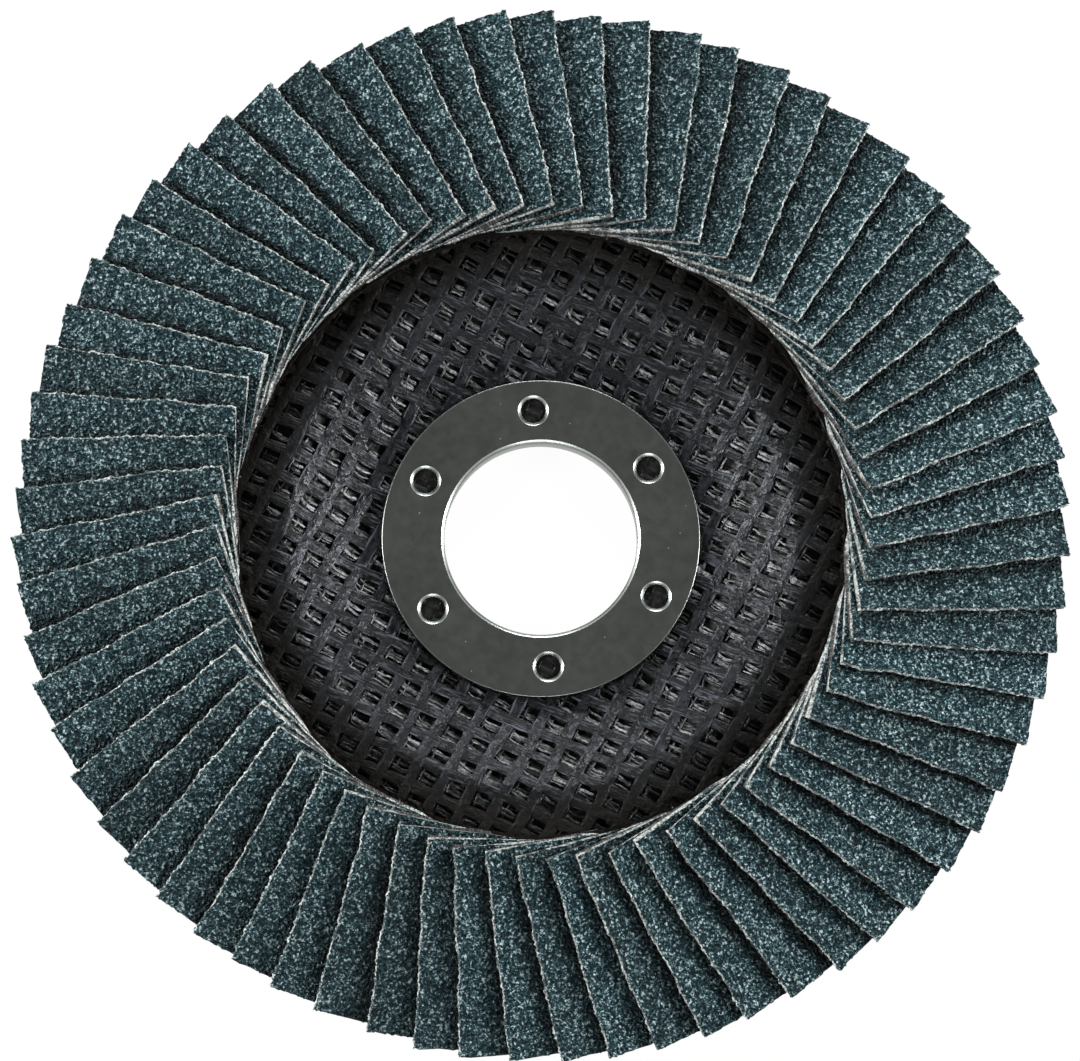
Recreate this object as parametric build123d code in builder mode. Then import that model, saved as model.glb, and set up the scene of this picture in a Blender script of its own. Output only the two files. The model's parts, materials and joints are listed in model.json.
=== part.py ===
# Flap disc for an angle grinder, abrasive side up: a glass-fibre backing plate with a recessed hub,
# a pressed steel ring in its bore, and flaps of abrasive cloth set in a bed of resin.
# The origin is on the bore's axis, in the plane of the hub's back face. +Z points to the abrasive side.
import os
from math import atan2, cos, hypot, radians, sin, tan

from build123d import *

# Driving dimensions, in millimetres and degrees

# Bore and the steel ring that lines it
bore_radius = 11.115
ring_sheet = 0.6
collar_wall = 0.5
collar_clearance = 0.05
bore_lip_radius = 0.4
ring_edge_radius = 0.25

# Pierced holes of the ring, whose edges are drawn down into the laminate. Their circle keeps a band of
# steel to the bore and one to the ring's outer edge.
pierced_count = 6
bore_to_pierced = 3.735
pierced_to_ring_edge = 3.5
pierced_first_angle = 33.35
pierced_hole_radius = 1.4
pierced_wall = 0.35
pierced_depth = 1.5
pierced_lip_radius = 0.4
socket_clearance = 0.1

# Backing plate: a hub, a sloping wall and a conical flange that falls towards the rim
hub_thickness = 3.9
dish_depth = 5.3
dish_floor_margin = 2.25
dish_crest_radius = 29.6
flange_angle = 9.0
flange_thickness = 3.3
rim_radius = 56.6
floor_bend_radius = 3.0
crest_bend_radius = 2.5
back_bend_radius = 2.0
rim_edge_radius = 0.5

# Flaps of abrasive cloth: each is a cut rectangle, leaning on its neighbour and twisted along its length
flap_count = 67
flap_length = 24.2
flap_width = 14.0
flap_thickness = 1.0
flap_overhang = 4.2
flap_first_angle = 3.15
flap_skew = 10.0
flap_slope = 12.8
flap_clearance = 0.17
flaps_per_node = 2

# Bed of cured resin: its thickness under the flaps, and how far it climbs between them
bed_thickness = 0.8
bed_climb = 0.7
bed_squeeze_out = 0.4
bed_rim_inset = 0.4

# Backing plate

pierced_circle_radius = bore_radius + bore_to_pierced
ring_radius = pierced_circle_radius + pierced_to_ring_edge
ring_face_height = hub_thickness + ring_sheet
dish_floor_radius = ring_radius + dish_floor_margin
crest_height = hub_thickness + dish_depth
flange_fall = tan(radians(flange_angle))
flange_drop = flange_thickness / cos(radians(flange_angle))


def flange_height(radius):
    """Height of the flange's abrasive side at a radius."""
    return crest_height - (radius - dish_crest_radius) * flange_fall


# The wall's back is parallel to its front. It starts on the hub's back face and ends under the flange.
wall_rise = dish_depth / (dish_crest_radius - dish_floor_radius)
wall_run = flange_thickness / sin(atan2(dish_depth, dish_crest_radius - dish_floor_radius))
hub_back_radius = dish_floor_radius + wall_run - hub_thickness / wall_rise
back_crest_radius = (flange_height(0) - flange_drop + hub_back_radius * wall_rise) / (
    wall_rise + flange_fall
)

collar_radius = bore_radius + collar_wall
socket_radius = pierced_hole_radius + pierced_wall + socket_clearance

with BuildPart() as backing_plate:
    with BuildSketch(Plane.XZ):
        with BuildLine():
            FilletPolyline(
                (collar_radius + collar_clearance, 0),
                (collar_radius + collar_clearance, hub_thickness),
                (dish_floor_radius, hub_thickness),
                (dish_crest_radius, crest_height),
                (rim_radius, flange_height(rim_radius)),
                (rim_radius, flange_height(rim_radius) - flange_drop),
                (back_crest_radius, flange_height(back_crest_radius) - flange_drop),
                (hub_back_radius, 0),
                radius=[
                    0,
                    0,
                    floor_bend_radius,
                    crest_bend_radius,
                    rim_edge_radius,
                    rim_edge_radius,
                    back_bend_radius + flange_thickness,
                    back_bend_radius,
                ],
                close=True,
            )
        make_face()
    revolve(axis=Axis.Z)
    with BuildSketch(Plane.XY.offset(hub_thickness)):
        with PolarLocations(pierced_circle_radius, pierced_count, start_angle=pierced_first_angle):
            Circle(socket_radius)
    extrude(amount=-pierced_depth - socket_clearance, mode=Mode.SUBTRACT)

# Flaps: the free edge lies on top, and the other long edge, the foot, stands in the bed

flap_pitch = 360 / flap_count
flap_corner_radius = rim_radius + flap_overhang
corner_offset = flap_corner_radius * sin(radians(flap_skew))
outer_corner_x = flap_corner_radius * cos(radians(flap_skew))
inner_corner_x = outer_corner_x - flap_length * cos(radians(flap_slope))
flap_fall = flap_length * sin(radians(flap_slope))
flap_along = Vector(cos(radians(flap_slope)), 0, -sin(radians(flap_slope)))
flap_up = Vector(sin(radians(flap_slope)), 0, cos(radians(flap_slope)))


def flap_end(corner_x, height):
    """Plane of a flap's short end: X runs across the flap from its free edge, Y is up through it.
    The flap leans so that its neighbour, one pitch further round, lies on it with the clearance."""
    arc_pitch = hypot(corner_x, corner_offset) * radians(flap_pitch)
    lean = atan2(flap_thickness + flap_clearance, arc_pitch)
    across = Vector(0, cos(lean), 0) - flap_up * sin(lean)
    return Plane(origin=(corner_x, -corner_offset, height), x_dir=across, z_dir=flap_along)


# The foot's inner end stands on the bed, and that sets the height of the flap's upper corner
level_end = flap_end(inner_corner_x, 0)
level_foot = level_end.from_local_coords(Vector(flap_width, -flap_thickness, 0))
foot_radius = hypot(level_foot.X, level_foot.Y)
flap_top_height = flange_height(foot_radius) + bed_thickness - level_foot.Z

inner_end = flap_end(inner_corner_x, flap_top_height)
outer_end = flap_end(outer_corner_x, flap_top_height - flap_fall)

with BuildPart() as flap:
    for end_plane in (inner_end, outer_end):
        with BuildSketch(end_plane):
            Rectangle(flap_width, flap_thickness, align=(Align.MIN, Align.MAX))
    loft(ruled=True)

flaps = [
    flap.part.moved(Rotation(0, 0, flap_first_angle + flap_skew + index * flap_pitch))
    for index in range(flap_count)
]

# Adhesive bed: a cone on the flange, whose top climbs between the feet of the flaps

bed_inner_radius = foot_radius - bed_squeeze_out
bed_outer_radius = rim_radius - bed_rim_inset
bed_depth = bed_thickness + bed_climb

with BuildPart() as adhesive_bed:
    with BuildSketch(Plane.XZ):
        with BuildLine():
            Polyline(
                (bed_inner_radius, flange_height(bed_inner_radius)),
                (bed_inner_radius, flange_height(bed_inner_radius) + bed_depth),
                (bed_outer_radius, flange_height(bed_outer_radius) + bed_depth),
                (bed_outer_radius, flange_height(bed_outer_radius)),
                close=True,
            )
        make_face()
    revolve(axis=Axis.Z)
    add(flaps, mode=Mode.SUBTRACT)

# Centre ring: a pressed annulus on the hub, a collar down the bore, and six drawn edges

with BuildPart() as centre_ring:
    with BuildSketch(Plane.XZ):
        with BuildLine():
            FilletPolyline(
                (bore_radius, 0),
                (bore_radius, ring_face_height),
                (ring_radius, ring_face_height),
                (ring_radius, hub_thickness),
                (collar_radius, hub_thickness),
                (collar_radius, 0),
                radius=[0, bore_lip_radius, ring_edge_radius, 0, 0, 0],
                close=True,
            )
        make_face()
    revolve(axis=Axis.Z)
    with BuildSketch(Plane.XY.offset(hub_thickness - pierced_depth)):
        with PolarLocations(pierced_circle_radius, pierced_count, start_angle=pierced_first_angle):
            Circle(pierced_hole_radius + pierced_wall)
    extrude(amount=pierced_depth + ring_sheet / 2)
    with BuildSketch(Plane.XY.offset(ring_face_height)):
        with PolarLocations(pierced_circle_radius, pierced_count, start_angle=pierced_first_angle):
            Circle(pierced_hole_radius)
    extrude(amount=-ring_sheet - pierced_depth, mode=Mode.SUBTRACT)
    pierced_edges = centre_ring.edges().filter_by(GeomType.CIRCLE)
    fillet(
        pierced_edges.filter_by(lambda edge: abs(edge.radius - pierced_hole_radius) < 0.001)
        .group_by(Axis.Z)[-1],
        pierced_lip_radius,
    )

# Write one file for each piece, or for each pair of flaps

os.makedirs("parts", exist_ok=True)

for name, piece in (
    ("backing_plate", backing_plate.part),
    ("centre_ring", centre_ring.part),
    ("adhesive_bed", adhesive_bed.part),
):
    piece.label = name
    export_step(piece, f"parts/{name}.step")

for first in range(0, flap_count, flaps_per_node):
    indices = range(first, min(first + flaps_per_node, flap_count))
    with BuildPart() as flap_group:
        add([flaps[index] for index in indices])
    flap_group.part.label = "flaps_" + "_".join(f"{index + 1:02d}" for index in indices)
    export_step(flap_group.part, f"parts/{flap_group.part.label}.step")
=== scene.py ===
# Flap disc, abrasive side up. Lengths are in metres unless a comment says otherwise, and Z is the disc's axis.

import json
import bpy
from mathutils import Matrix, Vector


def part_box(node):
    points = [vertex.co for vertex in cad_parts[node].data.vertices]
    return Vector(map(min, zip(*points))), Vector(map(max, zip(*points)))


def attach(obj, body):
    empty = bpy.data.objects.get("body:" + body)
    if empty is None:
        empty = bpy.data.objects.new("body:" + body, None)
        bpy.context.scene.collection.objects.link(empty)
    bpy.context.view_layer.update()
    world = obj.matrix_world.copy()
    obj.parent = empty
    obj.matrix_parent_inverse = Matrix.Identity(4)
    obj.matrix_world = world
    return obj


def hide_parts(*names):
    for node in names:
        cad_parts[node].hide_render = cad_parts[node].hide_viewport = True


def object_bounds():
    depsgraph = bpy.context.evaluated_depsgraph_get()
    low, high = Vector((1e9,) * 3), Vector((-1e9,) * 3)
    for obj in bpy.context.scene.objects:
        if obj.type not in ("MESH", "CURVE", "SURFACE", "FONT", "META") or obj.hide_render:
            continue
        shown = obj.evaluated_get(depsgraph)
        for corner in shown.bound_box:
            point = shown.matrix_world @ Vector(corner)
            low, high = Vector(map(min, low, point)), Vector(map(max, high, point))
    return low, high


bl_info = {
    "name": "Flap disc",
    "version": (1, 0, 0),
    "blender": (4, 5, 0),
    "location": "3D View > Sidebar > Flap disc",
    "description": "Dresses the packed flap disc: abrasive flaps, woven laminate, pressed ring and studio",
    "category": "Object",
}

from functools import cache
from math import atan2, ceil, cos, hypot, pi, radians, sin, tan, tau

import bmesh
import bpy
import numpy as np
from bpy.props import FloatProperty, FloatVectorProperty, IntProperty, PointerProperty
from mathutils import Matrix, Vector

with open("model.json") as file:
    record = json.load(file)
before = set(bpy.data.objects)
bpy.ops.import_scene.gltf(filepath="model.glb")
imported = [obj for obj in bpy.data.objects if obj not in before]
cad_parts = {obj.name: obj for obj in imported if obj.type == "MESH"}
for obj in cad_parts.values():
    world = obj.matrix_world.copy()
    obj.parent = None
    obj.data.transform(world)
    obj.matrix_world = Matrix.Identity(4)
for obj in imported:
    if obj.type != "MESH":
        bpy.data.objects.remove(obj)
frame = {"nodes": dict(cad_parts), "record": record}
cad_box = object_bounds()

MM = 0.001
BODY = "root"

plate_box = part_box("backing_plate")
ring_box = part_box("centre_ring")
flap_nodes = sorted(name for name in frame["nodes"] if name.startswith("flaps_"))
flap_total = sum(len(name.split("_")) - 1 for name in flap_nodes)
bore_mount = next(m for m in frame["record"]["mounts"] if m["name"] == "bore")


# Settings


def length(name, default, description):
    """A length in the settings, in metres."""
    return FloatProperty(name=name, default=default, description=description, unit="LENGTH", precision=5)


def angle(name, default, description):
    """An angle in the settings, given in degrees and held in radians."""
    return FloatProperty(name=name, default=radians(default), description=description, subtype="ANGLE")


def colour(name, default, description):
    """A linear colour in the settings."""
    return FloatVectorProperty(
        name=name, default=default, description=description, subtype="COLOR", size=3, min=0, max=1
    )


class FlapSettings(bpy.types.PropertyGroup):
    """Sizes, irregularity and colours of the abrasive flaps."""

    length: length("Length", 24.2 * MM, "Long side of a flap, from its inner to its outer end")
    width: length("Width", 14.0 * MM, "Short side of a flap, most of it under its neighbours")
    thickness: length("Thickness", 1.0 * MM, "Cloth with its coat of grain")
    clearance: length("Clearance", 0.17 * MM, "Room left between a flap and the one it lies on")
    overhang: length("Overhang", 4.2 * MM, "How far the outer corners stand out past the plate's rim")
    first_angle: angle("First corner", 3.15, "Angle of the first outer corner round the disc")
    skew: angle("Skew", 10.0, "Angle between a flap's long side and the radius at its outer corner")
    slope: angle("Slope", 12.8, "Fall of a flap's long side towards the rim")
    turn_spread: angle("Turn spread", 0.3, "Spread of the flaps' angles round the disc")
    skew_spread: angle("Skew spread", 0.45, "Spread of the flaps' skew")
    reach_spread: length("Reach spread", 0.13 * MM, "Spread of the flaps' distance from the axis")
    edge_bow: length("Edge bow", 0.13 * MM, "How far a free edge wanders from a straight line")
    edge_nib: length("Edge nibs", 0.17 * MM, "How far single grains stand out of a free edge")
    edge_lift: length("Edge lift", 0.30 * MM, "How far a free edge stands up off the flap it lies on")
    edge_fray: length("Edge fray", 0.19 * MM, "How far the cloth stands out past the grain at a cut edge")
    # Painted shadow: how far the darkened band beside the next flap's free edge spreads, in place of that edge's shadow
    painted_shadow_reach: length("Painted shadow reach", 1.05 * MM, "How far the dark crease beside a free edge spreads")
    grain: length("Grain", 0.42 * MM, "Size of an abrasive grain")
    grain_relief: length("Grain relief", 0.22 * MM, "Height of the grains over the resin between them")
    mesh_step: length("Mesh step", 0.235 * MM, "Spacing of the mesh where a flap shows")
    seed: IntProperty(name="Seed", default=11, description="Chooses the flaps' irregularities")
    resin: colour("Resin", (0.0004, 0.0048, 0.0066), "Colour between the grains")
    grit: colour("Grain colour", (0.0185, 0.050, 0.059), "Colour of most grains")
    # Painted highlight, in part: the palest grains' colour also stands in for the glints off the grains
    glint: colour("Glint", (0.355, 0.445, 0.46), "Colour of the palest grains")
    cloth: colour("Cloth", (0.44, 0.48, 0.46), "Torn fibres along the cut edges")
    cloth_shade: colour("Cloth shade", (0.145, 0.160, 0.155), "Colour of the fibres where resin has soaked in")
    cloth_end: colour("Cloth end", (0.43, 0.45, 0.43), "Torn fibres at a flap's inner end, stained by the glue")
    backing: colour("Backing", (0.085, 0.082, 0.080), "Colour of the cloth under the grain")
    thread_pitch: length("Thread pitch", 0.62 * MM, "Spacing of the cloth's threads")
    shade_spread: FloatProperty(name="Shade spread", default=0.10, description="Spread of the flaps' brightness")


class PlateSettings(bpy.types.PropertyGroup):
    """Section, weave and colours of the backing plate."""

    hub_thickness: length("Hub thickness", 3.9 * MM, "Thickness of the hub at the bore")
    dish_depth: length("Dish depth", 5.3 * MM, "Height of the crest over the dish's floor")
    floor_radius: length("Floor radius", 20.6 * MM, "Where the dish's floor turns up into the wall")
    crest_radius: length("Crest radius", 29.6 * MM, "Where the wall turns down into the flange")
    flange_angle: angle("Flange angle", 9.0, "Fall of the flange towards the rim")
    flange_thickness: length("Flange thickness", 3.3 * MM, "Thickness of the wall and the flange")
    floor_bend: length("Floor bend", 3.0 * MM, "Radius between floor and wall")
    crest_bend: length("Crest bend", 2.5 * MM, "Radius between wall and flange")
    back_bend: length("Back bend", 2.0 * MM, "Radius between the hub's back and the wall's")
    rim_bend: length("Rim bend", 0.5 * MM, "Radius of the rim's edges")
    warp_pitch: length("Warp pitch", 3.35 * MM, "Spacing of the yarns of the first set")
    warp_angle: angle("Warp angle", 62.0, "Direction of the yarns of the first set")
    weft_pitch: length("Weft pitch", 2.95 * MM, "Spacing of the yarns of the second set")
    weft_angle: angle("Weft angle", -24.0, "Direction of the yarns of the second set")
    yarn_width: length("Yarn width", 1.27 * MM, "Width of a flattened yarn")
    yarn_crimp: length("Yarn crimp", 0.06 * MM, "Height of a yarn's wave over and under the others")
    yarn_bulge: length("Yarn bulge", 0.08 * MM, "Height of a yarn's middle over its edges")
    yarn_wander: length("Yarn wander", 0.19 * MM, "How far a yarn strays from its line")
    window_depth: length("Window depth", 0.8 * MM, "Depth of the windows between the yarns")
    strand_width: length("Strand width", 0.44 * MM, "Width of the loose strands that cross the windows")
    strand_length: length("Strand length", 1.9 * MM, "Length over which a loose strand stays straight")
    bead_radius: length("Bead radius", 35.5 * MM, "Where the bead of glue meets the flaps")
    bead_climb: length("Bead climb", 1.35 * MM, "Height of the bead of glue over the flange")
    # Glue and painted shade: from about here the weave and strands darken towards the flaps, for glue that crept out
    # and for the shade under the flaps
    glue_and_shade_radius: length("Glue and shade radius", 31.0 * MM, "Where glue from under the flaps begins to cover the weave")
    seed: IntProperty(name="Seed", default=5, description="Chooses the yarns' irregularities")
    resin: colour("Resin", (0.0032, 0.0032, 0.0034), "Black resin")
    yarn: colour("Yarn", (0.0100, 0.0112, 0.0135), "Yarns seen through their coat of resin")
    # Painted highlight, in part: the strands' pale colour also stands in for their glints
    strand: colour("Strand", (0.24, 0.25, 0.26), "Bare glass strands in the windows")
    # Over the weave near the flaps this colour also stands for painted shade
    glue: colour("Glue", (0.0068, 0.0060, 0.0050), "Glue that has crept out from under the flaps")


class RingSettings(bpy.types.PropertyGroup):
    """Sizes and colour of the pressed steel ring."""

    sheet: length("Sheet", 0.6 * MM, "Thickness of the ring's sheet")
    collar_wall: length("Collar wall", 0.5 * MM, "Thickness of the collar in the bore")
    lip_radius: length("Lip width", 0.40 * MM, "Width of the bend from the ring's face into the bore")
    edge_radius: length("Edge radius", 0.25 * MM, "Rounding of the outer edge")
    hole_count: IntProperty(name="Pierced holes", default=6, description="Number of pierced holes")
    hole_circle: length("Hole circle", 14.85 * MM, "Radius of the circle of pierced holes")
    hole_angle: angle("Hole angle", 33.35, "Angle of the first pierced hole")
    hole_radius: length("Hole radius", 1.4 * MM, "Radius of a pierced hole")
    hole_wall: length("Hole wall", 0.35 * MM, "Thickness of a pierced edge")
    hole_lip: length("Hole lip", 0.42 * MM, "Bend from the ring's face into a pierced hole")
    hole_depth: length("Hole depth", 1.5 * MM, "How far a pierced edge is drawn down")
    steel: colour("Steel", (0.332, 0.360, 0.334), "Colour of the bare steel")
    dirt: colour("Dirt", (0.24, 0.235, 0.19), "Thin stains on the steel")


class StudioSettings(bpy.types.PropertyGroup):
    """Camera and lights."""

    distance: length("Distance", 2400 * MM, "Camera to the ring's face")
    lean: angle("Lean", 6.27, "Angle between the camera's line and the disc's axis")
    side: angle("Side", 8.0, "Direction of the camera's lean, from the bottom of the picture to its left")
    scale: FloatProperty(name="Scale", default=8.69, description="Picture elements for each millimetre at the ring")
    picture_width: IntProperty(name="Width", default=1080, description="Width of the photograph")
    aim: length("Aim", 0.92 * MM, "How far the picture's middle lies above the bore's")
    aim_side: length("Aim to the side", -0.10 * MM, "How far the picture's middle lies to the right of the bore's")
    horizon: FloatProperty(name="Horizon", default=0.52, description="Height of the pale backdrop that metal mirrors")
    world: colour("World", (0.06, 0.06, 0.06), "Plain light from all round")
    backdrop: colour("Backdrop", (1.0, 1.0, 1.0), "Colour of the floor and backdrop")


# Mesh building


def add_piece(name, points, polygons, attributes=None, material=None, sharp=radians(50)):
    """Makes a mesh object from an array of points and a list of arrays of corner indices.
    Each array in the list holds polygons with the same number of corners, one in a row."""
    mesh = bpy.data.meshes.new(name)
    corners = np.concatenate([p.ravel() for p in polygons])
    totals = np.concatenate([np.full(len(p), p.shape[1]) for p in polygons])
    starts = np.concatenate([[0], np.cumsum(totals)[:-1]])
    mesh.vertices.add(len(points))
    mesh.vertices.foreach_set("co", points.astype(np.float32).ravel())
    mesh.loops.add(len(corners))
    mesh.loops.foreach_set("vertex_index", corners.astype(np.int32))
    mesh.polygons.add(len(totals))
    mesh.polygons.foreach_set("loop_start", starts.astype(np.int32))
    mesh.polygons.foreach_set("use_smooth", np.ones(len(totals), bool))
    for key, values in (attributes or {}).items():
        layer = mesh.attributes.new(key, "FLOAT", "POINT")
        layer.data.foreach_set("value", values.astype(np.float32).ravel())
    mesh.update(calc_edges=True)
    mesh.validate()
    mesh.set_sharp_from_angle(angle=sharp)
    if material:
        mesh.materials.append(material)
    piece = bpy.data.objects.new(name, mesh)
    bpy.context.scene.collection.objects.link(piece)
    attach(piece, BODY)
    return piece


def tube_quads(rows, around):
    """Quads between neighbouring rows of a closed loop of points, as corner indices."""
    row, column = np.meshgrid(np.arange(rows - 1), np.arange(around), indexing="ij")
    following = (column + 1) % around
    corners = [row * around + column, row * around + following, (row + 1) * around + following,
               (row + 1) * around + column]
    return np.stack(corners, axis=-1).reshape(-1, 4)


def tube_caps(rows, around):
    """The two end polygons of such a tube."""
    first = np.arange(around)[::-1]
    last = (rows - 1) * around + np.arange(around)
    return np.stack([first, last])


def ring_quads(steps, around):
    """Quads of a section of closed outline, carried right round the axis."""
    step, column = np.meshgrid(np.arange(steps), np.arange(around), indexing="ij")
    onward, following = (step + 1) % steps, (column + 1) % around
    corners = [step * around + column, onward * around + column, onward * around + following,
               step * around + following]
    return np.stack(corners, axis=-1).reshape(-1, 4)


def tubes(shapes, inside_out=False):
    """Joins tubes into one array of points and lists of their quads and caps. A tube is a grid of points, one
    row for each of its sections."""
    points, quads, caps, start = [], [], [], 0
    order = slice(None, None, -1) if inside_out else slice(None)
    for shape in shapes:
        rows, around = shape.shape[:2]
        points.append(shape.reshape(-1, 3))
        quads.append(start + tube_quads(rows, around)[:, order])
        caps.append(start + tube_caps(rows, around)[:, order])
        start += rows * around
    return np.concatenate(points), np.concatenate(quads), caps


def turn(points, by):
    """Points turned round the Z axis."""
    x = points[..., 0] * np.cos(by) - points[..., 1] * np.sin(by)
    y = points[..., 0] * np.sin(by) + points[..., 1] * np.cos(by)
    return np.stack([x, y, points[..., 2]], axis=-1)


def rounded_outline(corners, radii, arc_steps=7):
    """Points of a polyline in radius and height whose corners are rounded.
    At a corner with a radius, the arc touches both sides at radius times the tangent of half the turn."""
    corners = np.array(corners, float)
    outline = []
    for k, (corner, radius) in enumerate(zip(corners, radii)):
        to_last = corners[k - 1] - corner
        to_next = corners[(k + 1) % len(corners)] - corner
        if radius == 0:
            outline.append(corner[None])
            continue
        to_last /= np.linalg.norm(to_last)
        to_next /= np.linalg.norm(to_next)
        half = np.arccos(np.clip(to_last @ to_next, -1, 1)) / 2
        middle = to_last + to_next
        centre = corner + middle / np.linalg.norm(middle) * radius / sin(half)
        start = corner + to_last * radius / tan(half) - centre
        finish = corner + to_next * radius / tan(half) - centre
        share = np.linspace(0, 1, arc_steps)[:, None]
        spread = pi - 2 * half
        arc = (np.sin((1 - share) * spread) * start + np.sin(share * spread) * finish) / sin(spread)
        outline.append(centre + arc)
    return np.concatenate(outline)


def divided(outline, longest):
    """The same closed outline with its long sides cut into steps no longer than the given length."""
    pieces = []
    for here, after in zip(outline, np.roll(outline, -1, axis=0)):
        steps = max(1, ceil(np.linalg.norm(after - here) / longest))
        pieces.append(here + (after - here) * np.arange(steps)[:, None] / steps)
    return np.concatenate(pieces)


# Irregularity


def wave_noise(generator, at, wavelengths, rows=1):
    """Smooth noise along a line: the sum of one sine for each wavelength, with random phases.
    Each row of the result has its own phases. The values are mostly within plus and minus one."""
    phases = generator.uniform(0, tau, (rows, len(wavelengths), 1))
    strengths = generator.uniform(0.4, 1.0, (rows, len(wavelengths), 1))
    turns = tau * at[None, None, :] / np.array(wavelengths)[None, :, None]
    return (strengths * np.sin(turns + phases)).sum(axis=1) / np.sqrt(len(wavelengths))


class GrainField:
    """Grains scattered over a plane: one in each cell of a square grid, with random place, height and width."""

    CELLS = 128

    def __init__(self, seed):
        self.table = np.random.default_rng(seed).random((4, self.CELLS, self.CELLS))

    def height(self, x, y, size):
        """Height from 0 to 1: the highest of the domes of the nine nearest grains."""
        column, row = np.floor(x / size).astype(int), np.floor(y / size).astype(int)
        best = np.zeros(x.shape)
        for across in (-1, 0, 1):
            for along in (-1, 0, 1):
                i, j = column + across, row + along
                place_x, place_y, tall, wide = self.table[:, i % self.CELLS, j % self.CELLS]
                gap = np.hypot(x / size - i - place_x, y / size - j - place_y) / (0.55 + 0.4 * wide)
                best = np.maximum(best, (0.35 + 0.65 * tall) * (1 - gap**2))
        return best


# Materials


class Graph:
    """Short calls that add nodes to one node tree. Each gives back the new node's result, unless it says otherwise."""

    def __init__(self, tree):
        self.tree = tree

    def fill(self, made, inputs):
        """Links or sets a node's inputs."""
        for key, value in inputs.items():
            if isinstance(value, bpy.types.NodeSocket):
                self.tree.links.new(value, made.inputs[key])
            else:
                made.inputs[key].default_value = value

    def node(self, kind, inputs=None, **settings):
        """Adds a node, sets its properties and fills its inputs. Gives back the node."""
        made = self.tree.nodes.new("ShaderNode" + kind)
        for key, value in settings.items():
            setattr(made, key, value)
        self.fill(made, inputs or {})
        return made

    def group(self, group, inputs):
        """Places a node group with its own values. Gives back all its outputs."""
        return self.node("Group", inputs, node_tree=group).outputs

    def math(self, operation, first, second=0.0, clamp=False):
        return self.node("Math", {0: first, 1: second}, operation=operation, use_clamp=clamp).outputs[0]

    def multiply(self, first, *others):
        """Product of all the values."""
        for other in others:
            first = self.math("MULTIPLY", first, other)
        return first

    def weighted(self, *terms, shift=0.0):
        """Sum of values, each times its weight, plus a shift. A term is a value and its weight."""
        total = shift
        for value, weight in terms:
            total = self.node("Math", {0: value, 1: weight, 2: total}, operation="MULTIPLY_ADD").outputs[0]
        return total

    def vector(self, operation, inputs, output="Vector"):
        return self.node("VectorMath", inputs, operation=operation).outputs[output]

    def remap(self, value, low, high, new_low=0.0, new_high=1.0):
        """Smooth map of a value from one range to another."""
        return self.node(
            "MapRange", {"Value": value, "From Min": low, "From Max": high, "To Min": new_low, "To Max": new_high},
            interpolation_type="SMOOTHSTEP",
        ).outputs[0]

    def blend(self, factor, first, second):
        """Mix of two values."""
        return self.node("Mix", {0: factor, 2: first, 3: second}).outputs[0]

    def mix(self, factor, first, second):
        """Mix of two colours."""
        return self.node("Mix", {0: factor, 6: first, 7: second}, data_type="RGBA").outputs[2]

    def noise(self, where, scale, detail, roughness=0.5, **settings):
        """Noise from 0 to 1, with its scale in waves for each metre."""
        inputs = {"Vector": where, "Scale": scale, "Detail": detail, "Roughness": roughness, **settings}
        return self.node("TexNoise", inputs).outputs["Fac"]

    def bump(self, height, distance, strength=1.0):
        return self.node("Bump", {"Height": height, "Strength": strength, "Distance": distance}).outputs[0]

    def here(self):
        """Coordinates of the disc's own frame, in metres."""
        return self.node("TexCoord").outputs["Object"]

    def radius(self, where):
        """Distance from the disc's axis."""
        return self.vector("LENGTH", {0: self.vector("MULTIPLY", {0: where, 1: (1.0, 1.0, 0.0)})}, "Value")

    def attribute(self, name):
        """A value stored on the mesh."""
        return self.node("Attribute", attribute_name=name).outputs["Fac"]


def opaque(rgb, by=1.0):
    """A colour times a number, with full opacity."""
    return (*(by * part for part in rgb), 1.0)


def new_group(name, inputs, outputs):
    """An empty node group: returns its graph, its input node's outputs and its output node.
    The sockets are given as a dictionary of names and kinds."""
    tree = bpy.data.node_groups.new(name, "ShaderNodeTree")
    for in_out, sockets in (("INPUT", inputs), ("OUTPUT", outputs)):
        for key, kind in sockets.items():
            tree.interface.new_socket(key, in_out=in_out, socket_type="NodeSocket" + kind)
    return Graph(tree), tree.nodes.new("NodeGroupInput").outputs, tree.nodes.new("NodeGroupOutput")


@cache
def mottle_group():
    """Slow drift between two colours, as dust, handling and uneven resin leave."""
    graph, given, result = new_group(
        "Mottle", {"Vector": "Vector", "Per metre": "Float", "First": "Color", "Second": "Color"},
        {"Colour": "Color", "Value": "Float"},
    )
    value = graph.remap(graph.noise(given["Vector"], given["Per metre"], 2.0, 0.6), 0.32, 0.68)
    graph.fill(result, {"Colour": graph.mix(value, given["First"], given["Second"]), "Value": value})
    return graph.tree


@cache
def speck_group():
    """Specks one to a cell: a mask that rises to 1 in the middle of a share of the cells."""
    graph, given, result = new_group(
        "Specks", {"Vector": "Vector", "Per metre": "Float", "Share": "Float", "Radius": "Float"}, {"Mask": "Float"}
    )
    cells = graph.node("TexVoronoi", {"Vector": given["Vector"], "Scale": given["Per metre"]}).outputs
    random = graph.node("SeparateColor", {"Color": cells["Color"]}).outputs[0]
    chosen = graph.math("LESS_THAN", random, given["Share"])
    near = graph.math("SUBTRACT", 1.0, graph.math("DIVIDE", cells["Distance"], given["Radius"]))
    dome = graph.multiply(graph.math("MAXIMUM", near, 0.0), 2.5)
    graph.fill(result, {"Mask": graph.math("MULTIPLY", chosen, dome, clamp=True)})
    return graph.tree


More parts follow.
